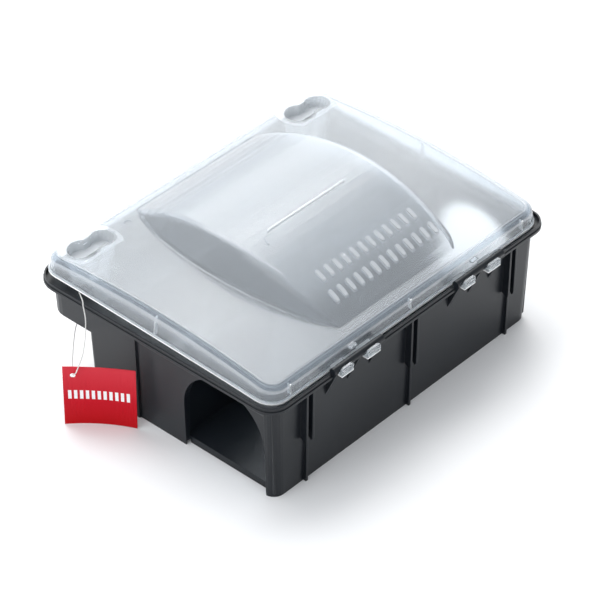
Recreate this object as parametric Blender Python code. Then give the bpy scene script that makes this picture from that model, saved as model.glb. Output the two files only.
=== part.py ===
"""Rodent bait station: a black polypropylene tub with a tunnel along its hinge
side, a frosted domed lid on two snap-in hinge bars, two spring latches under
the keyholes, two steel bait rods, and a card tag on a loop of string.

Metres, +Z up. X is the long side, -Y the hinge side, +Y the lock side.
Lengths below are in millimetres and are scaled by MM.
"""

import math

import bmesh
import bpy
from mathutils import Matrix, Vector

MM = 0.001

# ---------------------------------------------------------------- dimensions
# tub, outside
TUB_BOT_X = 109.8        # half length of the tub at the floor
TUB_TOP_X = 112.2        # half length under the rim
TUB_BOT_Y0 = -85.2       # hinge wall at the floor
TUB_TOP_Y0 = -86.4       # hinge wall under the rim
TUB_BOT_Y1 = 53.2        # lock side of the deep part, at the floor
TUB_TOP_Y1 = 54.6        # the same wall where it meets the lock shelf
CORNER_R = 7.0           # upright corners of the deep part, hinge side
REAR_R = 3.0             # the same, lock side
WALL = 2.0
SHELF_Z = 43.8           # underside of the lock shelf
SHELF_Y = 87.4           # lock wall of the shelf, under the rim
SHELF_R = 12.0           # its two outer corners
FLOOR_Z0, FLOOR_Z1 = 2.4, 4.6
# rim
RIM_X, RIM_Y = 118.5, 91.3
RIM_R = 12.5
RIM_Z0, LEDGE_Z, LIP_Z = 65.3, 66.6, 69.1
RIM_STEP_Z, RIM_STEP = 67.0, 0.5         # the lip stands back a little above this
LIP_T = 1.5
# entries
ARCH_Y, ARCH_R, ARCH_Z = -47.6, 30.0, 30.7
SILL_X = 105.5           # the floor stops here, inside the arch
RECESS_T = 1.2           # the end wall is set in round the arch
RECESS_Y0, RECESS_Y1 = -78.8, 17.5
# hinge wall fins
FIN_X = (-86.7, 0.3, 86.9)
FIN_Y = -90.2
FIN_HALF, FIN_T = 2.5, 1.5
FIN_Z0 = 30.0
# hinge
HINGE_X = 51.7           # centres of the two hinges
AXIS_Y, AXIS_Z = -92.4, 71.6
BAR_R = 2.2
BAR_HALF = 20.4
GUSSET_STEP, GUSSET_T = 18.0, 1.6
GUSSET_Z = 52.0
HOOK_SPANS = ((-16.8, -7.4), (4.2, 14.8))     # along X, from the hinge's centre
HOOK_Z0, HOOK_Z1, HOOK_LEG_Z = 66.8, 73.4, 71.4
LID_LIFT = math.radians(1.4)     # the lid lies on the latch noses
# lid, in its pressed-home position
LID_X, LID_Y = 115.1, 87.9
LID_R = 12.0
LID_Z = 68.6
LID_WALL = 1.6
SKIRT_IN = 1.3           # draught of the skirt over its height
SHOULDER_W, SHOULDER_H = 3.7, 2.3
EDGE_R = 0.7             # softness of the shoulder's two edges
BEAD_T, BEAD_H = 0.3, 0.9
EDGE_DROP, EDGE_BOW = 0.4, 1.1
CROWN_Z, CROWN_R = 84.1, 640.0
DOME_Z, DOME_R = 102.3, 140.8
DOME_HALF_Y = 76.8
DOME_END, DOME_BOW = 48.5, 18.5
DOME_BATTER = math.tan(math.radians(30.0))
DOME_FILLET = 6.0
DOME_FOOT = 1.4
RIDGE = (-43.0, 80.0, -67.0, -8.9)       # outline the ridge is part of
RIDGE_T, RIDGE_H, RIDGE_END = 1.2, 0.55, 30.0
# rows of small raised pips on the dome: (y, first x, count), pitch
PIP_ROWS = ((-62.6, -38.0, 13), (-50.0, -35.0, 12))
PIP_PITCH, PIP_W, PIP_L, PIP_H = 7.0, 2.6, 7.0, 0.7
# locks
KEY_X, KEY_Y = 90.3, 72.3
BOSS_Z = 59.7            # lower end of the boss, lid pressed home
KEY_NECK_Z = 71.5        # below this the boss is open on its far side
# keyhole outline: (radius, offset) of the large and the small lobe, waist
KEY_TOP = (9.0, -6.5, 7.2, 8.8, 6.0)
KEY_LOW = (6.8, -5.5, 5.2, 8.0, 4.2)
KEY_WALL = 1.5
KEY_FLOOR = 1.2
LATCH_DX = -2.0          # the latch stands a little off the keyhole's middle
LATCH_PIVOT_Y, LATCH_PIVOT_Z = 62.0, 50.5
LATCH_R = 1.7
LATCH_HALF = 6.0
# bait rods
ROD_R = 1.6
ROD_Y, ROD_Z = 18.0, 32.0
# tag and string
TAG_W, TAG_H, TAG_T = 41.0, 41.5, 0.5
TAG_BOW_LOW, TAG_BOW_TOP = 2.2, 1.0   # the card is curled, most at its lower edge
HOLE_U, HOLE_V = 5.6, 35.3
TAG_BL = Vector((-142.1, 44.5, 0.5))
TAG_BR = Vector((-117.5, 11.8, 0.5))
STRING_D = 0.65
STRING_X, STRING_Y = -107.5, 66.5     # hole in the lock shelf

GAP = 0.35
ORIGIN_Y = 2.63          # moves the frame's origin to the middle of the footprint


# ------------------------------------------------------------------- helpers
def clear():
    for ob in list(bpy.data.objects):
        bpy.data.objects.remove(ob, do_unlink=True)


def material(name, colour, rough, metal=0.0, transmission=0.0):
    mat = bpy.data.materials.new(name)
    mat.use_nodes = True
    bsdf = mat.node_tree.nodes["Principled BSDF"]
    bsdf.inputs["Base Color"].default_value = (*colour, 1.0)
    bsdf.inputs["Roughness"].default_value = rough
    bsdf.inputs["Metallic"].default_value = metal
    bsdf.inputs["Transmission Weight"].default_value = transmission
    return mat


def from_bmesh(name, bm):
    bmesh.ops.recalc_face_normals(bm, faces=bm.faces)
    me = bpy.data.meshes.new(name)
    bm.to_mesh(me)
    bm.free()
    ob = bpy.data.objects.new(name, me)
    bpy.context.collection.objects.link(ob)
    return ob


def rounded(x0, x1, y0, y1, radii, n=6, sub_x=0, sub_y=0):
    """Corner points of a rounded rectangle, anticlockwise from +X+Y.
    radii: (+x+y, -x+y, -x-y, +x-y)."""
    cs = (
        (x1, y1, -1, -1, 0, radii[0]),
        (x0, y1, 1, -1, 90, radii[1]),
        (x0, y0, 1, 1, 180, radii[2]),
        (x1, y0, -1, 1, 270, radii[3]),
    )
    pts = []
    for i, (cx, cy, sx, sy, a0, r) in enumerate(cs):
        for k in range(n + 1):
            a = math.radians(a0 + 90.0 * k / n)
            pts.append((cx + sx * r + r * math.cos(a), cy + sy * r + r * math.sin(a)))
        sub = sub_x if i in (0, 2) else sub_y
        if sub:
            nx = cs[(i + 1) % 4]
            a1 = math.radians(nx[4])
            nxt = (
                nx[0] + nx[2] * nx[5] + nx[5] * math.cos(a1),
                nx[1] + nx[3] * nx[5] + nx[5] * math.sin(a1),
            )
            px, py = pts[-1]
            for k in range(1, sub + 1):
                t = k / (sub + 1)
                pts.append((px + (nxt[0] - px) * t, py + (nxt[1] - py) * t))
    return pts


def loft(name, rings, strips=False):
    """A closed body through rings of 3-D points with equal counts. With
    strips, the last ring is closed by flat bands that run along X."""
    bm = bmesh.new()
    rows = [[bm.verts.new(Vector(p) * MM) for p in ring] for ring in rings]
    n = len(rows[0])
    for a, b in zip(rows, rows[1:]):
        for i in range(n):
            j = (i + 1) % n
            bm.faces.new((a[i], a[j], b[j], b[i]))
    bm.faces.new(list(reversed(rows[0])))
    if strips:
        top = rows[-1]
        left = sorted((v for v in top if v.co.x < 0), key=lambda v: v.co.y)
        right = sorted((v for v in top if v.co.x > 0), key=lambda v: v.co.y)
        for i in range(len(left) - 1):
            if left[i + 1].co.y - left[i].co.y > 1e-7:
                bm.faces.new((left[i], right[i], right[i + 1], left[i + 1]))
    else:
        bm.faces.new(rows[-1])
    return from_bmesh(name, bm)


def prism(name, ring0, z0, ring1, z1):
    return loft(name, [[(x, y, z0) for x, y in ring0], [(x, y, z1) for x, y in ring1]])


def prisms(name, rings, z0, z1):
    """Several separate upright prisms in one mesh."""
    bm = bmesh.new()
    for ring in rings:
        low = [bm.verts.new(Vector((x, y, z0)) * MM) for x, y in ring]
        top = [bm.verts.new(Vector((x, y, z1)) * MM) for x, y in ring]
        for i in range(len(ring)):
            j = (i + 1) % len(ring)
            bm.faces.new((low[i], low[j], top[j], top[i]))
        bm.faces.new(list(reversed(low)))
        bm.faces.new(top)
    return from_bmesh(name, bm)


def box(name, x0, x1, y0, y1, z0, z1):
    ring = [(x1, y1), (x0, y1), (x0, y0), (x1, y0)]
    return prism(name, ring, z0, ring, z1)


def extrude_x(name, profile, x0, x1):
    """profile: (y, z) points, extruded from x0 to x1."""
    return loft(
        name,
        [[(x0, y, z) for y, z in profile], [(x1, y, z) for y, z in profile]],
    )


def extrude_y(name, profile, y0, y1):
    """profile: (x, z) points."""
    return loft(
        name,
        [[(x, y0, z) for x, z in profile], [(x, y1, z) for x, z in profile]],
    )


def rod_x(name, x0, x1, y, z, r, n=24):
    prof = [
        (y + r * math.cos(2 * math.pi * k / n), z + r * math.sin(2 * math.pi * k / n))
        for k in range(n)
    ]
    return extrude_x(name, prof, x0, x1)


def combine(base, other, kind):
    mod = base.modifiers.new("b", "BOOLEAN")
    mod.operation = kind
    mod.solver = "EXACT"
    mod.use_self = False
    mod.object = other
    deps = bpy.context.evaluated_depsgraph_get()
    new = bpy.data.meshes.new_from_object(base.evaluated_get(deps))
    base.modifiers.clear()
    old = base.data
    base.data = new
    bpy.data.meshes.remove(old)
    bpy.data.objects.remove(other, do_unlink=True)
    return base


def add(base, *others):
    for o in others:
        combine(base, o, "UNION")
    return base


def cut(base, *others):
    for o in others:
        combine(base, o, "DIFFERENCE")
    return base


def finish(ob, mat, name=None, smooth=None, origin=None, rotate=None):
    if name:
        ob.name = name
        ob.data.name = name
    bm = bmesh.new()
    bm.from_mesh(ob.data)
    bmesh.ops.remove_doubles(bm, verts=bm.verts, dist=0.00001)
    bmesh.ops.dissolve_degenerate(bm, edges=bm.edges, dist=0.00001)
    if rotate is not None:
        bmesh.ops.transform(bm, matrix=rotate, verts=bm.verts)
    if origin is not None:
        bmesh.ops.translate(bm, vec=-Vector(origin), verts=bm.verts)
    bmesh.ops.recalc_face_normals(bm, faces=bm.faces)
    bm.to_mesh(ob.data)
    bm.free()
    if origin is not None:
        ob.location = origin
    ob.data.materials.clear()
    ob.data.materials.append(mat)
    if smooth:
        ob.data.shade_smooth()
        ob.data.set_sharp_from_angle(angle=math.radians(smooth))
    return ob


# ----------------------------------------------------------------------- tub
def tub_rings(inset, z0, z1, y1_extra=0.0):
    """The deep part at two heights, set in by inset."""

    def at(z):
        t = z / RIM_Z0
        hx = TUB_BOT_X + (TUB_TOP_X - TUB_BOT_X) * t - inset
        y0 = TUB_BOT_Y0 + (TUB_TOP_Y0 - TUB_BOT_Y0) * t + inset
        ts = z / SHELF_Z
        y1 = TUB_BOT_Y1 + (TUB_TOP_Y1 - TUB_BOT_Y1) * ts - inset + y1_extra
        r = CORNER_R - inset
        rear = max(REAR_R - inset, 1.2)
        return [(x, y, z) for x, y in rounded(-hx, hx, y0, y1, (rear, rear, r, r))]

    return [at(z0), at(z1)]


def end_x(z):
    return TUB_BOT_X + (TUB_TOP_X - TUB_BOT_X) * z / RIM_Z0


def hinge_y(z):
    return TUB_BOT_Y0 + (TUB_TOP_Y0 - TUB_BOT_Y0) * z / RIM_Z0


def shelf_rings(inset, z0, z1, y0):
    def at(z):
        t = (z - SHELF_Z) / (RIM_Z0 - SHELF_Z)
        hx = end_x(z) - inset
        y1 = SHELF_Y - 0.8 * (1 - t) - inset
        r = SHELF_R - inset
        return [(x, y, z) for x, y in rounded(-hx, hx, y0, y1, (r, r, 1.5, 1.5))]

    return [at(z0), at(z1)]


def arch_profile(r, z_bottom, n=28):
    pts = [(ARCH_Y + r, z_bottom)]
    for k in range(n + 1):
        a = math.pi * k / n
        pts.append((ARCH_Y + r * math.cos(a), ARCH_Z + r * math.sin(a)))
    pts.append((ARCH_Y - r, z_bottom))
    return pts


def make_tub(mat):
    tub = loft("tub", tub_rings(0.0, 0.0, RIM_Z0 + 1.0))
    add(tub, loft("shelf", shelf_rings(0.0, SHELF_Z, RIM_Z0 + 1.0, 20.0)))
    # rim: a flat flange with a lip standing round its edge
    rr = (RIM_R + 3, RIM_R + 3, RIM_R, RIM_R)
    ring = rounded(-RIM_X, RIM_X, -RIM_Y, RIM_Y, rr, 7)
    add(tub, prism("rim", ring, RIM_Z0, ring, RIM_STEP_Z))
    rs = tuple(r - RIM_STEP for r in rr)
    ring = rounded(-RIM_X + RIM_STEP, RIM_X - RIM_STEP, -RIM_Y + RIM_STEP, RIM_Y - RIM_STEP, rs, 7)
    add(tub, prism("lip", ring, RIM_STEP_Z - 0.6, ring, LIP_Z))
    rin = tuple(r - LIP_T for r in rr)
    ring = rounded(-RIM_X + LIP_T, RIM_X - LIP_T, -RIM_Y + LIP_T, RIM_Y - LIP_T, rin, 7)
    cut(tub, prism("ledge", ring, LEDGE_Z, ring, LIP_Z + 5))

    # the end walls are set in round the entries, with a soft upper edge
    for s in (-1, 1):
        prof = [
            (s * (end_x(0) - RECESS_T), -1.0),
            (s * (end_x(56) - RECESS_T), 56.0),
            (s * (end_x(61) + 0.05), 61.0),
            (s * 130.0, 61.0),
            (s * 130.0, -1.0),
        ]
        c = extrude_y("recess", prof, RECESS_Y0, RECESS_Y1)
        # the rear edge of the recess leans outwards like a fillet
        for v in c.data.vertices:
            if v.co.y > 0 and abs(v.co.x) > 0.12:
                v.co.y += 1.6 * MM
        cut(tub, c)

    # hollow: deep part and lock shelf
    cut(tub, loft("deep", tub_rings(WALL, FLOOR_Z1, LIP_Z + 6)))
    cut(tub, loft("shallow", shelf_rings(WALL, SHELF_Z + WALL, LIP_Z + 6, 15.0)))
    # the floor stands on a foot ring
    cut(tub, loft("under", tub_rings(WALL, -1.0, FLOOR_Z0)))
    # material behind the set-in end walls
    for s in (-1, 1):
        prof = [
            (s * (end_x(0) - RECESS_T - 0.1), FLOOR_Z0 + 0.1),
            (s * (end_x(62) - RECESS_T - 0.1), 62.0),
            (s * (end_x(62) - WALL - RECESS_T), 60.0),
            (s * (end_x(0) - WALL - RECESS_T), FLOOR_Z0 + 0.1),
        ]
        add(tub, extrude_y("pad", prof, RECESS_Y0 - 5.0, RECESS_Y1 + 1.5))

    # tunnel wall with a doorway in its middle, and the doorway's returns
    wx = TUB_BOT_X - WALL + 0.5
    for s in (-1, 1):
        a, b = sorted((s * wx, s * 38.0))
        add(tub, box("baffle", a, b, -15.0, -13.0, FLOOR_Z1 - 0.5, 60.0))
        a, b = sorted((s * 40.0, s * 38.0))
        add(tub, box("return", a, b, -13.5, 30.0, FLOOR_Z1 - 0.5, 44.0))
        # post for the far end of the bait rod
        a, b = sorted((s * 101.0, s * 103.0))
        add(tub, box("post", a, b, ROD_Y - 8, ROD_Y + 8, FLOOR_Z1 - 0.5, 40.0))
        # open notches the rod lies in
        r = ROD_R + GAP
        notch = []
        for k in range(9):
            t = math.pi + math.pi * k / 8
            notch.append((ROD_Y + r * math.cos(t), ROD_Z + r * math.sin(t)))
        notch += [(ROD_Y + r, 50.0), (ROD_Y - r, 50.0)]
        a, b = sorted((s * 36.0, s * 105.0))
        cut(tub, extrude_x("notch", notch, a, b))

    # entries: hood round each arch, then the opening through wall and floor
    for s in (-1, 1):
        a, b = sorted((s * (end_x(30) - 2.2), s * (SILL_X + 0.2)))
        add(tub, extrude_x("hood", arch_profile(ARCH_R + 1.8, FLOOR_Z0 + 0.2), a, b))
        a, b = sorted((s * 125.0, s * SILL_X))
        cut(tub, extrude_x("entry", arch_profile(ARCH_R, -1.0), a, b))
        a, b = sorted((s * SILL_X, s * (SILL_X - 3.0)))
        add(
            tub,
            box("sill", a, b, ARCH_Y - ARCH_R + 0.6, ARCH_Y + ARCH_R - 0.6, 0.0, FLOOR_Z1),
        )
        # clear the passage behind the hood
        a, b = sorted((s * (SILL_X + 0.3), s * (SILL_X - 3.5)))
        cut(tub, extrude_x("throat", arch_profile(ARCH_R, FLOOR_Z1), a, b))

    # paired fins on the hinge wall, each pair over one low rib
    for xc in FIN_X:
        for s in (-1, 1):
            x0 = xc + s * FIN_HALF - FIN_T / 2
            prof = [
                (hinge_y(66) + 1.0, RIM_Z0 + 0.5),
                (FIN_Y, RIM_Z0 + 0.5),
                (FIN_Y, FIN_Z0 + 1.5),
                (FIN_Y + 1.2, FIN_Z0),
                (hinge_y(30) + 1.0, FIN_Z0 + 4.0),
            ]
            add(tub, extrude_x("fin", prof, x0, x0 + FIN_T))
        prof = [
            (hinge_y(32) + 1.0, 38.0),
            (-87.3, 36.0),
            (-87.3, 0.0),
            (hinge_y(0) + 1.0, 0.0),
        ]
        add(tub, extrude_x("rib", prof, xc + 0.1, xc + 1.6))

    # hinges: the rim is cut back, and three gussets carry a round bar
    for hx in (-HINGE_X, HINGE_X):
        for s in (-1, 1):
            a, b = sorted((hx + s * 2.2, hx + s * (GUSSET_STEP - 1.0)))
            cut(tub, box("bay", a, b, -100.0, -87.3, RIM_Z0 - 1.0, LIP_Z + 5))
        bar = rod_x("bar", hx - BAR_HALF, hx + BAR_HALF, AXIS_Y, AXIS_Z, BAR_R, 28)
        for k in (-1, 0, 1):
            x0 = hx + k * GUSSET_STEP - GUSSET_T / 2
            prof = [
                (hinge_y(50) + 1.0, GUSSET_Z - 2.0),
                (hinge_y(50) - 0.2, GUSSET_Z),
                (AXIS_Y - 2.0, AXIS_Z - 1.0),
                (AXIS_Y, AXIS_Z),
                (-90.0, LIP_Z + 0.4),
                (-89.4, LEDGE_Z + 0.4),
                (hinge_y(66) + 1.0, LEDGE_Z - 0.6),
            ]
            combine(bar, extrude_x("gusset", prof, x0, x0 + GUSSET_T), "UNION")
        add(tub, bar)

    # cheeks that hold each latch lever
    for s in (-1, 1):
        for t in (-1, 1):
            x0 = s * KEY_X + LATCH_DX + t * (LATCH_HALF + GAP + 1.0)
            a, b = x0 - 1.0, x0 + 1.0
            add(
                tub,
                box("cheek", a, b, LATCH_PIVOT_Y - 3.2, LATCH_PIVOT_Y + 3.2, SHELF_Z + 1.5, 54.5),
            )
        # trough under the lever's round foot
        prof = [
            (LATCH_PIVOT_Y - 3.2, SHELF_Z + 1.0),
            (LATCH_PIVOT_Y - 3.2, LATCH_PIVOT_Z),
        ]
        for k in range(9):
            t = math.pi + math.pi * k / 8
            prof.append(
                (
                    LATCH_PIVOT_Y + (LATCH_R + GAP) * math.cos(t),
                    LATCH_PIVOT_Z + (LATCH_R + GAP) * math.sin(t),
                )
            )
        prof += [
            (LATCH_PIVOT_Y + 3.2, LATCH_PIVOT_Z),
            (LATCH_PIVOT_Y + 3.2, SHELF_Z + 1.0),
        ]
        w = LATCH_HALF + GAP + 0.5
        lx = s * KEY_X + LATCH_DX
        add(tub, extrude_x("trough", prof, lx - w, lx + w))

    # small hole through the rim at each hinge-side corner, and the string's
    # hole through the shelf
    for s in (-1, 1):
        cut(tub, drill(s * 104.0, -88.6, 0.9, 60.0, 75.0))
    cut(tub, drill(STRING_X, STRING_Y, 1.6, 40.0, 50.0))
    return finish(tub, mat, "tub", smooth=32)


def drill(x, y, r, z0, z1, n=20):
    ring = [
        (x + r * math.cos(2 * math.pi * k / n), y + r * math.sin(2 * math.pi * k / n))
        for k in range(n)
    ]
    return prism("drill", ring, z0, ring, z1)


# ----------------------------------------------------------------------- lid
def crown(y, drop=0.0):
    return CROWN_Z - drop - (CROWN_R - math.sqrt(CROWN_R**2 - y * y))


def dome(y, drop=0.0):
    r = DOME_R - drop
    return DOME_Z - DOME_R + math.sqrt(max(r * r - y * y, 0.0))


def lid_shell(name, inset, z0, bead=False):
    """Closed crowned cap: draughted skirt, flat bevelled shoulder with two
    soft edges, crowned top. The outer one has a bead along its lower edge."""

    def ring(d, zf):
        r = max(LID_R - d, 1.5)
        pts = rounded(
            -LID_X + d, LID_X - d, -LID_Y + d, LID_Y - d, (r, r, r, r), 6, 0, 21
        )
        return [(x, y, zf(y)) for x, y in pts]

    # the skirt leans in by SKIRT_IN, then the shoulder runs SHOULDER_W in and
    # SHOULDER_H up
    slope = math.hypot(SHOULDER_W, SHOULDER_H)
    ux, uz = SHOULDER_W / slope, SHOULDER_H / slope
    e = EDGE_R
    rings = []
    if bead:
        # the lower edge is slightly bowed along the ends
        def edge(y):
            return z0 - EDGE_DROP + EDGE_BOW * (1 - min(abs(y) / LID_Y, 1.0) ** 4)

        rings.append(ring(-BEAD_T, edge))
        rings.append(ring(-BEAD_T, lambda y: edge(y) + BEAD_H))
        rings.append(ring(0.05, lambda y: edge(y) + BEAD_H + 0.35))
    else:
        rings.append(ring(inset, lambda y: z0))
    d1 = inset + SKIRT_IN
    for dd, dz in (
        (0.0, -SHOULDER_H - e),
        (0.12 * e, -SHOULDER_H - 0.35 * e),
        (0.38 * e, -SHOULDER_H + 0.05 * e),
        (e * ux, -SHOULDER_H + e * uz),
        (SHOULDER_W - e * ux, -e * uz),
        (SHOULDER_W - 0.3 * e, -0.22 * e),
        (SHOULDER_W + 0.3 * e, -0.05 * e),
        (SHOULDER_W + e, 0.0),
    ):
        rings.append(ring(d1 + dd, lambda y, dz=dz: crown(y, inset) + dz))
    return loft(name, rings, strips=True)


def dome_solid(name, drop, z_base, steps=26):
    """Barrel vault along X with battered, bowed ends; drop = wall inset."""
    rings = []
    y_end = 80.5 - drop * 2.0
    for j in range(steps + 1):
        y = -y_end + 2 * y_end * j / steps
        zp = crown(y, 0.0)
        zb = dome(y, drop)
        q = 1.0 - (y / DOME_HALF_Y) ** 2
        xf = DOME_END + DOME_BOW * max(q, 0.0) ** 0.8
        if q < 0:
            xf -= 0.8 * (abs(y) - DOME_HALF_Y)
        xf -= drop * 1.15

        def wall_x(z, xf=xf, zp=zp):
            return xf - DOME_BATTER * (z - zp)

        h = zb - z_base
        g = zb - zp
        r = min(DOME_FILLET - drop, h * 0.3)
        if not drop and g > 0.5:
            r = min(r, 0.8 * g)
        t = 0.577 * r
        xt = wall_x(zb)
        if drop:
            half = [(wall_x(z_base), z_base), (wall_x(zb - h * 0.5), zb - h * 0.5)]
        elif g > 0.5:
            # small cove where the dome meets the plateau
            f = DOME_FOOT * min(g / 4.0, 1.0)
            z3 = zp + 0.04 + 0.9 * f
            half = [
                (wall_x(zp) + f + 0.02, z_base),
                (wall_x(zp) + f, zp + 0.02),
                (wall_x(zp) + 0.35 * f, zp + 0.02 + 0.2 * f),
                (wall_x(z3), z3),
            ]
            z4 = 0.5 * (z3 + zb - 0.5 * r)
            half.append((wall_x(z4), z4))
        else:
            half = [(wall_x(z_base + q2 * h), z_base + q2 * h) for q2 in (0.0, 0.2, 0.3, 0.4, 0.5)]
        # rolled upper edge
        cx, cz = xt - t, zb - r
        for k in range(6):
            a = math.radians(30.0 + 60.0 * k / 5)
            half.append((cx + r * math.cos(a), cz + r * math.sin(a)))
        half.append((cx * 0.5, zb))
        sec = half + [(-x, z) for x, z in reversed(half)]
        rings.append([(x, y, z) for x, z in sec])
    return loft(name, rings)


def key_outline(cx, cy, shape, grow=0.0, n=12):
    """Outline of a large and a small round lobe side by side along X."""
    r1, x1, r2, x2, waist = shape
    r1, r2, waist = r1 + grow, r2 + grow, waist + grow
    b1, b2 = math.asin(waist / r1), math.asin(waist / r2)
    pts = []
    for k in range(n + 1):
        a = -(math.pi - b2) + 2 * (math.pi - b2) * k / n
        pts.append((cx + x2 + r2 * math.cos(a), cy + r2 * math.sin(a)))
    for k in range(n + 1):
        a = b1 + 2 * (math.pi - b1) * k / n
        pts.append((cx + x1 + r1 * math.cos(a), cy + r1 * math.sin(a)))
    return pts


def dome_slab(name, lo, hi, y0, y1, x0, x1, steps=16):
    """Slab that follows the dome between two offsets from its surface; the
    lower one may vary with y."""
    ys = [y0 + (y1 - y0) * k / steps for k in range(steps + 1)]
    low = lo if callable(lo) else (lambda y: lo)
    prof = [(y, dome(y, -low(y))) for y in ys]
    prof += [(y, dome(y, -hi)) for y in reversed(ys)]
    return extrude_x(name, prof, x0, x1)


def make_lid(mat):
    lid = lid_shell("lid", 0.0, LID_Z, bead=True)
    add(lid, dome_solid("dome", 0.0, 76.0))
    # hollow underneath
    cut(lid, lid_shell("hollow", LID_WALL, LID_Z - 4.0))
    cut(lid, dome_solid("vault", LID_WALL, 73.0))
    # low ridge along the upper side of the pips, turning down at its left end
    ridge = prism("ridge", rounded(*RIDGE, (12,) * 4, 8), 60.0, rounded(*RIDGE, (12,) * 4, 8), 120.0)
    x0, x1, y0, y1 = RIDGE
    t = RIDGE_T
    inner = rounded(x0 + t, x1 - t, y0 + t, y1 - t, (12 - t,) * 4, 8)
    cut(ridge, prism("inner", inner, 50.0, inner, 130.0))
    combine(ridge, box("keep", -60.0, RIDGE_END, -18.0, 0.0, 60.0, 120.0), "INTERSECT")
    combine(ridge, dome_slab("lift", -0.9, RIDGE_H, -24.0, -2.0, -70, 70, 8), "INTERSECT")
    add(lid, ridge)
    # two rows of plain raised pips
    for y0, first, count in PIP_ROWS:
        rings = [
            rounded(x - PIP_W / 2, x + PIP_W / 2, y0 - PIP_L / 2, y0 + PIP_L / 2, (1.1,) * 4, 3)
            for x in (first + PIP_PITCH * k for k in range(count))
        ]
        pips = prisms("pips", rings, 70.0, 120.0)
        slab = dome_slab("lift", -0.9, PIP_H, y0 - 6, y0 + 6, -60, 60, 6)
        combine(pips, slab, "INTERSECT")
        add(lid, pips)
    # plain mould ring on the plateau
    ring = prism("ringo", circle(-62.5, 70.5, 3.2), 78.0, circle(-62.5, 70.5, 3.0), crown(70.5) + 0.35)
    cut(ring, prism("ringi", circle(-62.5, 70.5, 2.2), 70.0, circle(-62.5, 70.5, 2.2), 90.0))
    combine(ring, box("keep", -70, -55, 60, 80, crown(74) - 0.7, 90), "INTERSECT")
    add(lid, ring)

    # key bosses: a sleeve under each keyhole, with a window for the latch
    for s in (-1, 1):
        cx = s * KEY_X
        lx = cx + LATCH_DX
        top = crown(KEY_Y)
        sleeve = prism(
            "sleeve",
            key_outline(cx, KEY_Y, KEY_LOW, KEY_WALL),
            BOSS_Z,
            key_outline(cx, KEY_Y, KEY_TOP, KEY_WALL),
            top - 0.6,
        )
        strike = box("strike", lx - 7.6, lx + 7.6, KEY_Y - 8.2, KEY_Y - 4.6, BOSS_Z, 69.0)
        combine(sleeve, strike, "UNION")
        back = box("back", cx - 22, cx + 22, KEY_Y + 1.5, KEY_Y + 16, BOSS_Z - 2, KEY_NECK_Z)
        combine(sleeve, back, "DIFFERENCE")
        add(lid, sleeve)
        # the pocket is closed underneath by a thin floor
        low, high = BOSS_Z + KEY_FLOOR, top + 4.0
        shape = []
        for z in (low, high):
            t = (z - BOSS_Z) / (top - BOSS_Z)
            shape.append(tuple(a + (b - a) * t for a, b in zip(KEY_LOW, KEY_TOP)))
        pocket = prism(
            "pocket",
            key_outline(cx, KEY_Y, shape[0]),
            low,
            key_outline(cx, KEY_Y, shape[1]),
            high,
        )
        # and, where the sleeve is cut away, by a step in that floor
        step = box("step", cx - 22, cx + 22, KEY_Y + 0.3, KEY_Y + 16, BOSS_Z - 3, KEY_NECK_Z + KEY_FLOOR)
        combine(pocket, step, "DIFFERENCE")
        cut(lid, pocket)
        # the latch nose shows through this window when the lid is pressed home
        cut(
            lid,
            box("slot", lx - LATCH_HALF - 0.8, lx + LATCH_HALF + 0.8, KEY_Y - 12.0, KEY_Y - 2.0, BOSS_Z + 1.8, BOSS_Z + 5.6),
        )

    # hooks that reach under the hinge bars and up their outer side, with
    # rounded pads, and a small tab over each bar
    for hx in (-HINGE_X, HINGE_X):
        for xa, xb in HOOK_SPANS:
            c = BAR_R + 0.4
            prof = [(-86.6, HOOK_LEG_Z), (AXIS_Y + c + 0.2, HOOK_LEG_Z)]
            for k in range(1, 8):
                a = -math.pi * k / 8
                prof.append((AXIS_Y + c * math.cos(a), AXIS_Z + c * math.sin(a)))
            prof += [
                (AXIS_Y - c, AXIS_Z),
                (AXIS_Y - c, 74.2),
                (AXIS_Y - c - 1.5, 74.2),
                (AXIS_Y - c - 1.5, 68.0),
                (AXIS_Y - c - 0.4, HOOK_Z0 - 0.4),
                (-88.6, HOOK_Z0 - 0.4),
                (-87.7, 67.6),
                (-86.6, 67.6),
            ]
            hook = extrude_x("hook", prof, hx + xa - 1.0, hx + xb + 1.0)
            pad = [(x, z) for x, z in rounded(hx + xa, hx + xb, HOOK_Z0, HOOK_Z1, (1.7,) * 4, 5)]
            combine(hook, extrude_y("pad", pad, -99.0, -85.0), "INTERSECT")
            add(lid, hook)
        prof = [(-86.1, 74.4), (-89.3, 74.6), (-89.3, 75.5), (-86.1, 75.9)]
        add(lid, extrude_x("tab", prof, hx - 2.0, hx + 3.2))

    # small upright ribs inside the skirt
    for x in (-99.0, 0.0, 98.0):
        for s in (-1, 1):
            if s > 0 and x == 0.0 or s < 0:
                y0, y1 = sorted((s * (LID_Y - 1.2), s * (LID_Y - 4.0)))
                add(lid, box("rib", x - 0.5, x + 0.5, y0, y1, LID_Z + 1.2, 76.2))
    for s in (-1, 1):
        x0, x1 = sorted((s * (LID_X - 1.2), s * (LID_X - 4.0)))
        add(lid, box("rib", x0, x1, -0.5, 0.5, LID_Z + 1.2, 81.5))

    # resting pose: swung up a little about the hinge axis
    axis = Vector((0.0, AXIS_Y * MM, AXIS_Z * MM))
    turn = (
        Matrix.Translation(axis)
        @ Matrix.Rotation(LID_LIFT, 4, "X")
        @ Matrix.Translation(-axis)
    )
    return finish(lid, mat, "lid", smooth=30, origin=axis, rotate=turn)


def circle(x, y, r, n=24):
    return [
        (x + r * math.cos(2 * math.pi * k / n), y + r * math.sin(2 * math.pi * k / n))
        for k in range(n)
    ]


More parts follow.
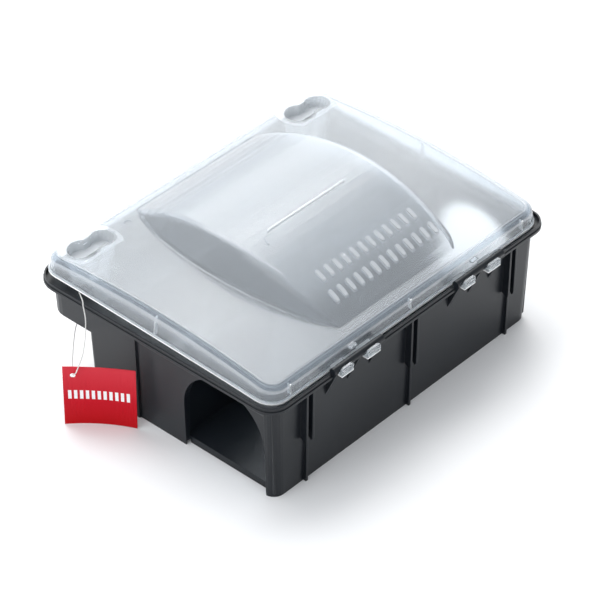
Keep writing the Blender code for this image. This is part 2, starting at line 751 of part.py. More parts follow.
# --------------------------------------------------------------- small parts
def make_latch(name, s, mat):
    """Spring lever: round foot, upright blade, nose towards the lock side."""
    cx = s * KEY_X + LATCH_DX
    py, pz = LATCH_PIVOT_Y, LATCH_PIVOT_Z
    prof = [(py + 0.9, pz + 1.2), (py + 0.9, 61.6), (py + 4.6, 61.8), (py + 4.6, 62.6)]
    prof += [(py + 2.2, 63.2), (py + 0.9, 63.4), (py + 0.4, 66.5), (py - 0.6, 67.0)]
    prof += [(py - 0.9, 66.0), (py - 0.9, pz + 1.2)]
    blade = extrude_x(name, prof, cx - LATCH_HALF, cx + LATCH_HALF)
    foot = rod_x("foot", cx - LATCH_HALF, cx + LATCH_HALF, py, pz, LATCH_R, 20)
    add(blade, foot)
    return finish(
        blade, mat, name, smooth=32, origin=Vector((cx, py, pz)) * MM
    )


def make_rod(name, s, mat):
    a, b = sorted((s * 34.5, s * 105.5))
    n = 24
    rings = []
    for x, r in ((a, ROD_R - 0.4), (a + 0.4, ROD_R), (b - 0.4, ROD_R), (b, ROD_R - 0.4)):
        rings.append(
            [
                (
                    x,
                    ROD_Y + r * math.cos(2 * math.pi * k / n),
                    ROD_Z + r * math.sin(2 * math.pi * k / n),
                )
                for k in range(n)
            ]
        )
    ob = loft(name, rings)
    origin = Vector(((a + b) / 2, ROD_Y, ROD_Z)) * MM
    return finish(ob, mat, name, smooth=32, origin=origin)


def tag_frame():
    along = (TAG_BR - TAG_BL).normalized()
    up = Vector((0, 0, 1))
    return along, up, along.cross(up).normalized()


def tag_point(u, v, w=0.0):
    """u along the card, v up, w out of its face; the card bows a little."""
    along, up, out = tag_frame()
    bow = TAG_BOW_LOW + (TAG_BOW_TOP - TAG_BOW_LOW) * v / TAG_H
    bow *= 1 - (2 * u / TAG_W - 1) ** 2
    return TAG_BL + along * u + up * v + out * (w - bow)


def make_tag(mat):
    """Thin card, slightly bowed, with a punched hole near one corner."""
    nu, nv = 16, 1
    bm = bmesh.new()
    top, bot = [], []
    for i in range(nu + 1):
        u = TAG_W * i / nu
        top.append([bm.verts.new(tag_point(u, v, TAG_T / 2) * MM) for v in (0.0, TAG_H)])
        bot.append([bm.verts.new(tag_point(u, v, -TAG_T / 2) * MM) for v in (0.0, TAG_H)])
    for i in range(nu):
        bm.faces.new((top[i][0], top[i + 1][0], top[i + 1][1], top[i][1]))
        bm.faces.new((bot[i][0], bot[i][1], bot[i + 1][1], bot[i + 1][0]))
        bm.faces.new((top[i][0], bot[i][0], bot[i + 1][0], top[i + 1][0]))
        bm.faces.new((top[i][1], top[i + 1][1], bot[i + 1][1], bot[i][1]))
    bm.faces.new((top[0][0], top[0][1], bot[0][1], bot[0][0]))
    bm.faces.new((top[nu][0], bot[nu][0], bot[nu][1], top[nu][1]))
    tag = from_bmesh("hang_tag", bm)
    along, up, out = tag_frame()
    c = tag_point(HOLE_U, HOLE_V)
    n = 20
    rings = []
    for w in (-4.0, 4.0):
        rings.append(
            [
                tuple(
                    c
                    + along * (1.6 * math.cos(2 * math.pi * k / n))
                    + up * (1.6 * math.sin(2 * math.pi * k / n))
                    + out * w
                )
                for k in range(n)
            ]
        )
    cut(tag, loft("punch", rings))
    return finish(tag, mat, "hang_tag", smooth=32)


def string_way():
    """Loop of string: from its hole in the lock shelf to the back of the
    card, through the card, over the card's upper edge, and up over the rim
    into the gap under the lid."""
    along, up, out = tag_frame()
    h = tag_point(HOLE_U, HOLE_V)

    def card(u, v, w):
        return TAG_BL + along * u + up * v + out * w

    return [
        Vector((STRING_X, STRING_Y, 49.0)),
        Vector((STRING_X, STRING_Y, 43.4)),
        Vector((-112.3, 63.8, 41.9)),
        Vector((-122.4, 55.6, 39.8)),
        Vector((-133.6, 45.3, 37.1)),
        h - out * 1.2 + up * 0.15,
        h + out * 1.0 + up * 0.8 + along * 0.4,
        card(7.3, 37.5, 0.9),
        card(8.8, 41.2, 0.9),
        card(9.5, 43.2, 0.1),
        Vector((-132.1, 38.6, 46.1)),
        Vector((-128.3, 40.4, 51.5)),
        Vector((-124.2, 43.2, 58.1)),
        Vector((-121.3, 46.0, 63.4)),
        Vector((-119.8, 48.6, 67.3)),
        Vector((-119.5, 49.4, 69.4)),
        Vector((-118.4, 50.5, 70.2)),
        Vector((-115.3, 55.2, 69.9)),
        Vector((-113.1, 58.5, 69.2)),
        Vector((-112.2, 59.9, 68.4)),
    ]


def make_string(mat):
    pts = smooth_path(string_way(), 1.5)
    cu = bpy.data.curves.new("tag_string", "CURVE")
    cu.dimensions = "3D"
    cu.bevel_depth = STRING_D / 2 * MM
    cu.bevel_resolution = 2
    cu.use_fill_caps = True
    sp = cu.splines.new("POLY")
    sp.points.add(len(pts) - 1)
    for p, co in zip(sp.points, pts):
        p.co = (*(co * MM), 1.0)
    ob = bpy.data.objects.new("tag_string", cu)
    bpy.context.collection.objects.link(ob)
    cu.materials.append(mat)
    return ob


def smooth_path(way, step):
    """Even steps along a smooth curve through the way points."""
    dense = []
    n = len(way)
    for i in range(n - 1):
        p0 = way[max(i - 1, 0)]
        p1, p2 = way[i], way[i + 1]
        p3 = way[min(i + 2, n - 1)]
        d1 = max((p1 - p0).length, 1e-6) ** 0.5
        d2 = max((p2 - p1).length, 1e-6) ** 0.5
        d3 = max((p3 - p2).length, 1e-6) ** 0.5
        m1 = (p2 - p1) * 1.0
        m2 = (p2 - p1) * 1.0
        if i > 0:
            m1 = ((p1 - p0) / d1 - (p2 - p0) / (d1 + d2) + (p2 - p1) / d2) * d2
        if i < n - 2:
            m2 = ((p2 - p1) / d2 - (p3 - p1) / (d2 + d3) + (p3 - p2) / d3) * d2
        for k in range(24):
            t = k / 24
            a = 2 * t**3 - 3 * t**2 + 1
            b = t**3 - 2 * t**2 + t
            c = -2 * t**3 + 3 * t**2
            d = t**3 - t**2
            dense.append(p1 * a + m1 * b + p2 * c + m2 * d)
    dense.append(way[-1].copy())
    total = sum((b - a).length for a, b in zip(dense, dense[1:]))
    count = max(int(round(total / step)), 2)
    out = [dense[0]]
    goal = total / count
    run, nxt = 0.0, goal
    for a, b in zip(dense, dense[1:]):
        seg = (b - a).length
        while run + seg >= nxt - 1e-9 and len(out) < count:
            out.append(a.lerp(b, (nxt - run) / seg))
            nxt += goal
        run += seg
    out.append(dense[-1])
    return out


# --------------------------------------------------------------------- build
def main():
    clear()
    black = material("black_polypropylene", (0.018, 0.018, 0.02), 0.38)
    frost = material("frosted_polypropylene", (0.80, 0.84, 0.87), 0.42, 0.0, 0.6)
    acetal = material("latch_acetal", (0.62, 0.64, 0.65), 0.3)
    steel = material("rod_steel", (0.55, 0.55, 0.56), 0.3, 1.0)
    card = material("tag_card", (0.60, 0.02, 0.05), 0.5)
    cord = material("string_cotton", (0.85, 0.85, 0.83), 0.8)
    make_tub(black)
    make_lid(frost)
    make_latch("latch_left", -1, acetal)
    make_latch("latch_right", 1, acetal)
    make_rod("bait_rod_left", -1, steel)
    make_rod("bait_rod_right", 1, steel)
    make_tag(card)
    make_string(cord)
    for ob in bpy.data.objects:
        ob.location.y += ORIGIN_Y * MM


main()
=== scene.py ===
"""Looks for the bait station: satin black tub, frosted lid, steel rods, card
tag and string, on a white studio floor."""

import math

import bmesh
import bpy
from mathutils import Matrix, Vector


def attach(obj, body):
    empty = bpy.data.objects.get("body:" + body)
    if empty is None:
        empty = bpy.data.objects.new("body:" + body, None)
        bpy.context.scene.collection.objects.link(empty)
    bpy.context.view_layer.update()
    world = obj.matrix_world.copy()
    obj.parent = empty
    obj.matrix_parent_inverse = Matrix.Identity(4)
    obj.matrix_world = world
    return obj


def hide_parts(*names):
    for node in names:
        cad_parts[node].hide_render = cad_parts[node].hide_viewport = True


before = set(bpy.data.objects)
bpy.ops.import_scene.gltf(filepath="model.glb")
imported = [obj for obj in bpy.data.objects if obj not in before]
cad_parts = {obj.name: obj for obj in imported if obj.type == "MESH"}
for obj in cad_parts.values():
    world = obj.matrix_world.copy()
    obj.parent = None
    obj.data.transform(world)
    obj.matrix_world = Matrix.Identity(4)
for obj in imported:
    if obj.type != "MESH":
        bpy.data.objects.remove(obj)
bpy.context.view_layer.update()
MM = 0.001
ORIGIN_Y = 2.63
TAG_W, TAG_H, TAG_T = 41.0, 41.5, 0.5
TAG_BOW_LOW, TAG_BOW_TOP = 2.2, 1.0
TAG_BL = Vector((-142.1, 44.5, 0.5))
TAG_BR = Vector((-117.5, 11.8, 0.5))
HOLE_U, HOLE_V = 5.6, 35.3
scene = bpy.context.scene
scene.view_settings.view_transform = "Standard"
scene.view_settings.look = "None"
scene.view_settings.exposure = 0.0
scene.view_settings.gamma = 1.0

# ------------------------------------------------------------------ camera
AZ, EL, ROLL = math.radians(-48.28), math.radians(38.15), math.radians(0.477)
back = Vector((math.sin(AZ) * math.cos(EL), -math.cos(AZ) * math.cos(EL), math.sin(EL)))
right = Vector((math.cos(AZ), math.sin(AZ), 0.0))
up = back.cross(right)
r2 = right * math.cos(ROLL) + up * math.sin(ROLL)
u2 = -right * math.sin(ROLL) + up * math.cos(ROLL)
cam_data = bpy.data.cameras.new("camera")
cam_data.sensor_width = 36.0
cam_data.sensor_fit = "HORIZONTAL"
cam_data.lens = 36.0 * 2995.5 / 590.0
cam_data.clip_start, cam_data.clip_end = 0.05, 30.0
camera = bpy.data.objects.new("camera", cam_data)
scene.collection.objects.link(camera)
camera.matrix_world = Matrix((
    (r2.x, u2.x, back.x, -1009.2 * MM),
    (r2.y, u2.y, back.y, (-900.6 + ORIGIN_Y) * MM),
    (r2.z, u2.z, back.z, 1096.1 * MM),
    (0, 0, 0, 1),
))
scene.camera = camera


# --------------------------------------------------------------- materials
LID_CLEAR, LID_ROUGH = 0.83, 0.22
HINGE_Y, HINGE_Z = -92.4, 71.6      # the lid's hinge axis


class Mat:
    """A small builder for node materials in object coordinates."""

    def __init__(self, name):
        self.mat = bpy.data.materials.new(name)
        self.mat.use_nodes = True
        self.nt = self.mat.node_tree
        self.bsdf = self.nt.nodes["Principled BSDF"]
        self.coord = self.new("ShaderNodeTexCoord")
        self.pos = self.coord.outputs["Object"]

    def new(self, kind, **props):
        n = self.nt.nodes.new(kind)
        for k, v in props.items():
            setattr(n, k, v)
        return n

    def link(self, a, b):
        self.nt.links.new(a, b)

    def set(self, **vals):
        for k, v in vals.items():
            self.bsdf.inputs[k.replace("_", " ")].default_value = v

    def scaled(self, x, y, z, source=None):
        n = self.new("ShaderNodeMapping")
        n.inputs["Scale"].default_value = (x, y, z)
        self.link(source or self.pos, n.inputs["Vector"])
        return n.outputs["Vector"]

    def noise(self, scale, detail=3.0, rough=0.5, vector=None, distortion=0.0):
        n = self.new("ShaderNodeTexNoise")
        n.inputs["Scale"].default_value = scale
        n.inputs["Detail"].default_value = detail
        n.inputs["Roughness"].default_value = rough
        n.inputs["Distortion"].default_value = distortion
        self.link(vector or self.pos, n.inputs["Vector"])
        return n.outputs["Fac"]

    def ramp(self, fac, stops, interpolation="LINEAR"):
        n = self.new("ShaderNodeValToRGB")
        el = n.color_ramp.elements
        n.color_ramp.interpolation = interpolation
        while len(el) < len(stops):
            el.new(0.5)
        for e, (p, c) in zip(el, stops):
            e.position = p
            e.color = (c, c, c, 1) if isinstance(c, (int, float)) else (*c, 1)
        self.link(fac, n.inputs["Fac"])
        return n.outputs["Color"]

    def remap(self, fac, a, b, lo=0.0, hi=1.0):
        n = self.new("ShaderNodeMapRange")
        n.inputs["From Min"].default_value = lo
        n.inputs["From Max"].default_value = hi
        n.inputs["To Min"].default_value = a
        n.inputs["To Max"].default_value = b
        self.link(fac, n.inputs["Value"])
        return n.outputs["Result"]

    def math(self, op, a, b=None, c=None):
        n = self.new("ShaderNodeMath", operation=op)
        for s, v in zip(n.inputs, (a, b, c)):
            if v is None:
                continue
            if isinstance(v, (int, float)):
                s.default_value = v
            else:
                self.link(v, s)
        return n.outputs["Value"]

    def bump(self, height, strength, distance):
        n = self.new("ShaderNodeBump")
        n.inputs["Strength"].default_value = strength
        n.inputs["Distance"].default_value = distance
        self.link(height, n.inputs["Height"])
        if self.bsdf.inputs["Normal"].is_linked:
            src = self.bsdf.inputs["Normal"].links[0].from_socket
            self.link(src, n.inputs["Normal"])
        self.link(n.outputs["Normal"], self.bsdf.inputs["Normal"])

    def soft_edges(self, radius):
        """Moulded parts have small edge radii that catch the light."""
        n = self.new("ShaderNodeBevel", samples=4)
        n.inputs["Radius"].default_value = radius
        self.link(n.outputs["Normal"], self.bsdf.inputs["Normal"])

    def colour(self, socket):
        self.link(socket, self.bsdf.inputs["Base Color"])

    def rough(self, socket):
        self.link(socket, self.bsdf.inputs["Roughness"])

    def xyz(self, source=None):
        n = self.new("ShaderNodeSeparateXYZ")
        self.link(source or self.pos, n.inputs[0])
        return n.outputs


def black_plastic():
    """Satin black polypropylene: fine spark-eroded grain, faint flow marks
    and scuffs."""
    m = Mat("black_polypropylene")
    m.set(IOR=1.49, Specular_IOR_Level=0.34)
    m.soft_edges(0.00035)
    grain = m.noise(2600.0, 2.0, 0.6)
    cloud = m.noise(22.0, 4.0, 0.55)
    scuff = m.noise(1.0, 5.0, 0.7, m.scaled(60.0, 60.0, 420.0), 0.4)
    col = m.ramp(cloud, [(0.30, (0.0062, 0.0082, 0.0112)), (0.70, (0.0100, 0.0126, 0.0165))])
    m.colour(col)
    r = m.remap(cloud, 0.27, 0.37)
    s = m.math("MULTIPLY", m.ramp(scuff, [(0.60, 0.0), (0.80, 1.0)]), 0.10)
    m.rough(m.math("ADD", r, s))
    m.bump(grain, 0.22, 0.00012)
    m.bump(cloud, 0.15, 0.0006)
    return m.mat


def frosted_plastic():
    """Natural polypropylene, moulded thin: see-through but milky, slightly
    blue, with fine frosting, soft flow marks and a few hairline scuffs. Where
    it is thicker (edge bead, ribs, hooks, key sleeves, raised marks) it turns
    nearly white; the edge bead's white is also a painted glow of light piped
    along the lower edge. Painted highlights whiten the two edges of the
    shoulder and the crest line of the dome, and painted shade darkens the
    shoulder's flat band."""
    m = Mat("frosted_polypropylene")
    m.set(IOR=1.49, Specular_IOR_Level=0.5, Coat_Weight=0.10, Coat_Roughness=0.30, Coat_IOR=1.45)
    x, y, z = m.xyz()
    # the closed lid's own frame, in millimetres: ax, ay from its middle, h
    # over the hinge axis
    y = m.math("ADD", y, -(HINGE_Y + ORIGIN_Y) * MM)
    z = m.math("ADD", z, -HINGE_Z * MM)
    lift = math.radians(1.4)
    mm = 1000.0
    h = m.math("SUBTRACT", m.math("MULTIPLY", z, math.cos(lift) * mm), m.math("MULTIPLY", y, math.sin(lift) * mm))
    fy = m.math("ADD", m.math("MULTIPLY", y, math.cos(lift) * mm), m.math("MULTIPLY_ADD", z, math.sin(lift) * mm, HINGE_Y))
    fx = m.math("MULTIPLY", x, mm)
    ax, ay = m.math("ABSOLUTE", fx), m.math("ABSOLUTE", fy)

    def near(v, at, half, soft):
        """1 within half of a value, falling to 0 over soft."""
        d = m.math("ABSOLUTE", m.math("SUBTRACT", v, at))
        return m.remap(d, 1.0, 0.0, half, half + soft)

    def times(*fs):
        out = fs[0]
        for f in fs[1:]:
            out = m.math("MULTIPLY", out, f)
        return out

    # signed distance from the skirt's top outline, negative inwards
    qx = m.math("SUBTRACT", ax, 113.8 - 10.7)
    qy = m.math("SUBTRACT", ay, 86.6 - 10.7)
    px, py = m.math("MAXIMUM", qx, 0.0), m.math("MAXIMUM", qy, 0.0)
    sd = m.math("SQRT", m.math("ADD", m.math("MULTIPLY", px, px), m.math("MULTIPLY", py, py)))
    sd = m.math("ADD", sd, m.math("MINIMUM", m.math("MAXIMUM", qx, qy), 0.0))
    sd = m.math("SUBTRACT", sd, 10.7)
    upper = m.math("GREATER_THAN", h, 3.0)
    # the edge bead follows the lid's bowed lower edge
    bow = m.math("POWER", m.math("DIVIDE", ay, 87.9), 4.0)
    over_edge = m.math("SUBTRACT", h, m.math("MULTIPLY_ADD", bow, -1.1, -2.3))
    # edge bead whitened: partly its real extra thickness, partly a painted glow of light piped along the lid's
    # lower edge
    low = m.remap(over_edge, 1.0, 0.0, 0.75, 1.15)
    # painted highlights: whitened lines along the outer and inner edges of the shoulder
    lines = m.math("MULTIPLY", m.math("MAXIMUM", near(sd, -0.15, 0.2, 0.4), near(sd, -3.75, 0.2, 0.5)), upper)
    # walls of the two key sleeves, under the crown
    rx, ry = m.math("SUBTRACT", ax, 90.3), m.math("SUBTRACT", fy, 72.3)
    reach = m.math("SQRT", m.math("ADD", m.math("MULTIPLY", rx, rx), m.math("MULTIPLY", ry, ry)))
    sleeve = m.math("MULTIPLY", m.math("LESS_THAN", reach, 19.0), m.math("LESS_THAN", h, 8.0))
    ribs = times(m.math("MAXIMUM", m.math("MAXIMUM", near(fx, -99.0, 0.5, 0.2), near(fx, 0.0, 0.5, 0.2)), near(fx, 98.0, 0.5, 0.2)),
                 near(ay, 85.2, 1.35, 0.1), m.math("LESS_THAN", h, 4.7))
    ribs2 = times(near(fy, 0.0, 0.5, 0.2), near(ax, 112.2, 1.3, 0.1), m.math("LESS_THAN", h, 10.0))
    # raised marks on the dome
    row1 = times(near(fy, -62.6, 3.4, 0.4), near(m.math("FRACT", m.math("DIVIDE", m.math("ADD", fx, 41.5), 7.0)), 0.5, 0.19, 0.05), near(fx, 4.0, 44.0, 0.5))
    row2 = times(near(fy, -50.0, 3.4, 0.4), near(m.math("FRACT", m.math("DIVIDE", m.math("ADD", fx, 38.5), 7.0)), 0.5, 0.19, 0.05), near(fx, 3.5, 40.5, 0.5))
    marks = m.math("MULTIPLY", m.math("MAXIMUM", row1, row2), 0.30)
    # painted highlight: a whitened line along the crest of the dome
    ridge_highlight = m.math("MULTIPLY", times(near(fy, -9.5, 0.6, 0.2), near(fx, -2.0, 31.5, 0.5)), 0.45)
    # whitening mask: the wall is thicker where the pad-shaped hooks and key sleeves grow out, and the mask also
    # takes in the painted highlights of the shoulder edges and the dome's crest line
    thick_and_highlights = m.math("MAXIMUM", m.math("MAXIMUM", low, m.math("MAXIMUM", m.math("MULTIPLY", lines, 0.22), m.math("MULTIPLY", sleeve, 0.45))), m.math("MAXIMUM", m.math("MAXIMUM", ribs, ribs2), m.math("MAXIMUM", marks, ridge_highlight)))
    # painted shade: the shoulder's flat band is darkened, standing in for the dim surroundings it reflects
    band = times(near(sd, -1.95, 1.2, 0.5), upper)
    # the skirt is clearer towards its lower edge
    skirt = times(m.math("GREATER_THAN", sd, -0.6), m.remap(h, 0.10, 0.0, 2.0, 8.0), m.math("SUBTRACT", 1.0, thick_and_highlights))
    # the dome is a little milkier, as light scatters between its two slopes
    facing = m.xyz(m.coord.outputs["Normal"])[2]
    dome = m.math("MULTIPLY", m.remap(h, 0.0, 0.12, 14.0, 21.0), m.remap(facing, 0.0, 1.0, 0.70, 0.90))

    frost = m.noise(1900.0, 2.0, 0.6)
    flow = m.noise(9.0, 4.0, 0.5, None, 0.6)
    scuff = m.noise(1.0, 4.0, 0.7, m.scaled(30.0, 300.0, 300.0), 0.3)
    col = m.ramp(flow, [(0.30, (0.87, 0.93, 0.985)), (0.70, (0.90, 0.95, 0.995))])
    # painted shade of the shoulder band, multiplied into the colour here
    mix = m.new("ShaderNodeMix", data_type="RGBA", blend_type="MULTIPLY")
    m.link(m.math("MULTIPLY", band, 0.8), mix.inputs["Factor"])
    m.link(col, mix.inputs["A"])
    mix.inputs["B"].default_value = (0.74, 0.79, 0.84, 1.0)
    white = m.new("ShaderNodeMix", data_type="RGBA")
    m.link(thick_and_highlights, white.inputs["Factor"])
    m.link(mix.outputs["Result"], white.inputs["A"])
    white.inputs["B"].default_value = (0.97, 0.97, 0.965, 1.0)
    m.colour(white.outputs["Result"])
    milk = m.math("MAXIMUM", thick_and_highlights, dome)
    clear = m.math("MULTIPLY_ADD", milk, -(LID_CLEAR - 0.08), LID_CLEAR)
    m.link(m.math("ADD", clear, skirt), m.bsdf.inputs["Transmission Weight"])
    r = m.math("ADD", m.remap(flow, LID_ROUGH - 0.03, LID_ROUGH + 0.03), m.remap(frost, -0.01, 0.01))
    s = m.math("MULTIPLY", m.ramp(scuff, [(0.62, 0.0), (0.80, 1.0)]), 0.06)
    s = m.math("MULTIPLY_ADD", thick_and_highlights, 0.12, s)
    m.rough(m.math("ADD", r, s))
    m.bump(flow, 0.06, 0.0010)
    return m.mat


def acetal():
    m = Mat("latch_acetal")
    m.set(IOR=1.48)
    grain = m.noise(1800.0, 2.0, 0.5)
    cloud = m.noise(120.0, 3.0, 0.5)
    m.colour(m.ramp(cloud, [(0.3, (0.60, 0.62, 0.64)), (0.7, (0.66, 0.68, 0.69))]))
    m.rough(m.remap(cloud, 0.24, 0.36))
    m.bump(grain, 0.12, 0.00008)
    return m.mat


def drawn_steel():
    m = Mat("rod_steel")
    m.set(Metallic=1.0)
    lines = m.noise(1.0, 3.0, 0.6, m.scaled(25.0, 2600.0, 2600.0))
    spots = m.noise(420.0, 4.0, 0.6)
    m.colour(m.ramp(spots, [(0.40, (0.50, 0.49, 0.48)), (0.62, (0.60, 0.60, 0.61))]))
    m.rough(m.remap(lines, 0.22, 0.42))
    m.bump(lines, 0.20, 0.00006)
    return m.mat


def tag_card():
    """Coated red card, a lighter red at the top fading to a deep red, with
    fibre in the cut edge and one row of plain upright white strokes where
    print would be."""
    m = Mat("tag_card")
    x, y, z = m.xyz()
    fibre = m.noise(1500.0, 3.0, 0.6)
    h = m.math("DIVIDE", z, 0.0415)
    tone = m.math("ADD", h, m.math("MULTIPLY", m.noise(60.0, 3.0), 0.08))
    red = m.ramp(tone, [(0.08, (0.46, 0.0003, 0.004)), (0.45, (0.50, 0.0015, 0.012)), (1.0, (0.58, 0.028, 0.045))])
    along = (TAG_BR - TAG_BL).normalized()
    base = TAG_BL.x * along.x + (TAG_BL.y + ORIGIN_Y) * along.y
    u = m.math("MULTIPLY_ADD", x, along.x / MM, m.math("MULTIPLY_ADD", y, along.y / MM, -base))
    v = m.math("MULTIPLY_ADD", z, 1.0 / MM, -TAG_BL.z)
    # print band: v along the card's height, u along its length
    v = m.math("MULTIPLY_ADD", u, 0.012, v)
    band = m.math("MULTIPLY", m.math("COMPARE", v, 21.6, 3.1), m.math("COMPARE", u, 20.3, 17.7))
    step = m.math("FRACT", m.math("DIVIDE", m.math("SUBTRACT", u, 2.6), 3.28))
    mask = m.math("MULTIPLY", band, m.math("LESS_THAN", step, 0.56))
    mix = m.new("ShaderNodeMix", data_type="RGBA")
    m.link(mask, mix.inputs["Factor"])
    m.link(red, mix.inputs["A"])
    mix.inputs["B"].default_value = (0.86, 0.86, 0.87, 1.0)
    m.colour(mix.outputs["Result"])
    m.set(Specular_IOR_Level=0.15)
    m.rough(m.remap(fibre, 0.42, 0.58))
    m.bump(fibre, 0.15, 0.00008)
    return m.mat


def cotton():
    m = Mat("string_cotton")
    m.set(Sheen_Weight=0.25, Sheen_Roughness=0.5)
    x, y, z = m.xyz()
    # plies wind round the string: slanted waves in its own coordinates
    uv = m.coord.outputs["UV"]
    u, v, w = m.xyz(uv)
    ply = m.math("SINE", m.math("MULTIPLY", m.math("ADD", m.math("MULTIPLY", u, 60.0), v), 6.2832 * 2))
    fuzz = m.noise(4200.0, 3.0, 0.6)
    # painted shade: the colour darkens in the grooves between the plies, following the same wave that drives the
    # bump
    m.colour(m.ramp(m.remap(ply, 0.0, 1.0, -1.0, 1.0), [(0.0, (0.55, 0.54, 0.51)), (0.5, (0.80, 0.79, 0.77))]))
    m.rough(m.remap(fuzz, 0.7, 0.9))
    m.bump(ply, 0.5, 0.00012)
    return m.mat


def paint(node, mat):
    ob = bpy.data.objects[node] if node in bpy.data.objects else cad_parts[node]
    ob.data.materials.clear()
    ob.data.materials.append(mat)
    return ob


black, frost = black_plastic(), frosted_plastic()
paint("tub", black)
paint("lid", frost)
lever = acetal()
for n in ("latch_left", "latch_right"):
    paint(n, lever)
steel = drawn_steel()
for n in ("bait_rod_left", "bait_rod_right"):
    paint(n, steel)
card = tag_card()
paint("hang_tag", card)

# ------------------------------------------------------------------- cord


def tag_frame():
    along = (TAG_BR - TAG_BL).normalized()
    up = Vector((0, 0, 1))
    return along, up, along.cross(up).normalized()


def tag_point(u, v, w=0.0):
    along, up, out = tag_frame()
    bow = TAG_BOW_LOW + (TAG_BOW_TOP - TAG_BOW_LOW) * v / TAG_H
    bow *= 1 - (2 * u / TAG_W - 1) ** 2
    return TAG_BL + along * u + up * v + out * (w - bow)


def smooth_path(way, step):
    dense = []
    n = len(way)
    for i in range(n - 1):
        p0 = way[max(i - 1, 0)]
        p1, p2 = way[i], way[i + 1]
        p3 = way[min(i + 2, n - 1)]
        d1 = max((p1 - p0).length, 1e-6) ** 0.5
        d2 = max((p2 - p1).length, 1e-6) ** 0.5
        d3 = max((p3 - p2).length, 1e-6) ** 0.5
        m1 = (p2 - p1) * 1.0
        m2 = (p2 - p1) * 1.0
        if i > 0:
            m1 = ((p1 - p0) / d1 - (p2 - p0) / (d1 + d2) + (p2 - p1) / d2) * d2
        if i < n - 2:
            m2 = ((p2 - p1) / d2 - (p3 - p1) / (d2 + d3) + (p3 - p2) / d3) * d2
        for k in range(24):
            t = k / 24
            a = 2 * t**3 - 3 * t**2 + 1
            b = t**3 - 2 * t**2 + t
            c = -2 * t**3 + 3 * t**2
            d = t**3 - t**2
            dense.append(p1 * a + m1 * b + p2 * c + m2 * d)
    dense.append(way[-1].copy())
    total = sum((b - a).length for a, b in zip(dense, dense[1:]))
    count = max(int(round(total / step)), 2)
    out = [dense[0]]
    goal = total / count
    run, nxt = 0.0, goal
    for a, b in zip(dense, dense[1:]):
        seg = (b - a).length
        while run + seg >= nxt - 1e-9 and len(out) < count:
            out.append(a.lerp(b, (nxt - run) / seg))
            nxt += goal
        run += seg
    out.append(dense[-1])
    return out


def string_way():
    """Loop of string: from its hole in the lock shelf to the back of the
    card, through the card, over the card's upper edge, and up over the rim
    into the gap under the lid."""
    along, up, out = tag_frame()
    h = tag_point(HOLE_U, HOLE_V)

    def card(u, v, w):
        return TAG_BL + along * u + up * v + out * w

    return [
        Vector((STRING_X, STRING_Y, 49.0)),
        Vector((STRING_X, STRING_Y, 43.4)),
        Vector((-112.3, 63.8, 41.9)),
        Vector((-122.4, 55.6, 39.8)),
        Vector((-133.6, 45.3, 37.1)),
        h - out * 1.2 + up * 0.15,
        h + out * 1.0 + up * 0.8 + along * 0.4,
        card(7.3, 37.5, 0.9),
        card(8.8, 41.2, 0.9),
        card(9.5, 43.2, 0.1),
        Vector((-132.1, 38.6, 46.1)),
        Vector((-128.3, 40.4, 51.5)),
        Vector((-124.2, 43.2, 58.1)),
        Vector((-121.3, 46.0, 63.4)),
        Vector((-119.8, 48.6, 67.3)),
        Vector((-119.5, 49.4, 69.4)),
        Vector((-118.4, 50.5, 70.2)),
        Vector((-115.3, 55.2, 69.9)),
        Vector((-113.1, 58.5, 69.2)),
        Vector((-112.2, 59.9, 68.4)),
    ]


STRING_D = 0.65
STRING_X, STRING_Y = -107.5, 66.5
route = [(p + Vector((0, ORIGIN_Y, 0))) * MM for p in smooth_path(string_way(), 1.5)]
cu = bpy.data.curves.new("string_cord", "CURVE")
cu.dimensions = "3D"
cu.bevel_depth = STRING_D / 2 * MM
cu.bevel_resolution = 4
cu.use_fill_caps = True
cu.resolution_u = 6
sp = cu.splines.new("POLY")
sp.points.add(len(route) - 1)
for p, co in zip(sp.points, route):
    p.co = (*co, 1.0)
string = bpy.data.objects.new("string_cord", cu)
scene.collection.objects.link(string)
cu.materials.append(cotton())
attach(string, "tub")
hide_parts("tag_string")

# ------------------------------------------------------------------- stage
floor_mat = bpy.data.materials.new("studio_floor")
floor_mat.use_nodes = True
fb = floor_mat.node_tree.nodes["Principled BSDF"]
fb.inputs["Base Color"].default_value = (0.93, 0.93, 0.93, 1)
fb.inputs["Roughness"].default_value = 0.9
fb.inputs["Specular IOR Level"].default_value = 0.1
bm = bmesh.new()
bmesh.ops.create_grid(bm, x_segments=1, y_segments=1, size=3.0)
me = bpy.data.meshes.new("floor")
bm.to_mesh(me)
bm.free()
floor = bpy.data.objects.new("floor", me)
floor.location = (0, 0, 0)
scene.collection.objects.link(floor)
me.materials.append(floor_mat)

world = bpy.data.worlds.new("studio")
scene.world = world
world.use_nodes = True
wt = world.node_tree
bg = wt.nodes["Background"]
bg.inputs["Strength"].default_value = 0.88
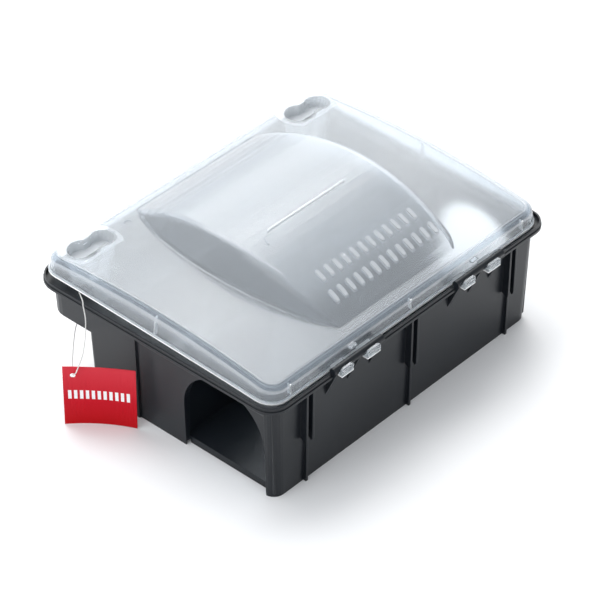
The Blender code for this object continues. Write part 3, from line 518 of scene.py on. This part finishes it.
# white cyclorama: bright near the horizon, dimmer overhead
tc = wt.nodes.new("ShaderNodeTexCoord")
sep = wt.nodes.new("ShaderNodeSeparateXYZ")
ramp = wt.nodes.new("ShaderNodeValToRGB")
wt.links.new(tc.outputs["Generated"], sep.inputs[0])
wt.links.new(sep.outputs["Z"], ramp.inputs["Fac"])
el = ramp.color_ramp.elements
el[0].position, el[0].color = 0.0, (1.15, 1.17, 1.2, 1)
el[1].position, el[1].color = 1.0, (0.90, 0.93, 0.97, 1)
for p, v in ((0.40, 1.10), (0.55, 0.85), (0.80, 0.90)):
    e = el.new(p)
    e.color = (v * 0.96, v * 0.985, v * 1.02, 1)
# dark flags on the hinge side, a white card on the tag's side
side = wt.nodes.new("ShaderNodeVectorMath")
side.operation = "DOT_PRODUCT"
side.inputs[1].default_value = (-0.24, 0.30, 0.0)
wt.links.new(tc.outputs["Generated"], side.inputs[0])
gain = wt.nodes.new("ShaderNodeMath")
gain.operation = "MULTIPLY_ADD"
wt.links.new(side.outputs["Value"], gain.inputs[0])
gain.inputs[1].default_value = 0.88
gain.inputs[2].default_value = 0.88
wt.links.new(gain.outputs["Value"], bg.inputs["Strength"])
wt.links.new(ramp.outputs["Color"], bg.inputs["Color"])


def area(name, loc, target, size, energy, colour=(1, 1, 1)):
    data = bpy.data.lights.new(name, "AREA")
    data.shape = "RECTANGLE"
    data.size, data.size_y = size
    data.energy = energy
    data.color = colour
    ob = bpy.data.objects.new(name, data)
    ob.location = loc
    d = Vector(target) - Vector(loc)
    ob.rotation_mode = "QUATERNION"
    ob.rotation_quaternion = d.to_track_quat("-Z", "Y")
    scene.collection.objects.link(ob)
    return ob


area("key", (0.38, 0.92, 1.82), (0, 0, 0.05), (1.9, 1.3), 29.5, (1.0, 0.998, 0.995))
area("back", (1.62, 1.20, 1.22), (0, 0, 0.06), (1.7, 1.15), 12.5)
area("fill", (-1.5, 0.2, 1.2), (0, 0, 0.05), (1.0, 0.8), 6.5, (0.95, 0.98, 1.0))
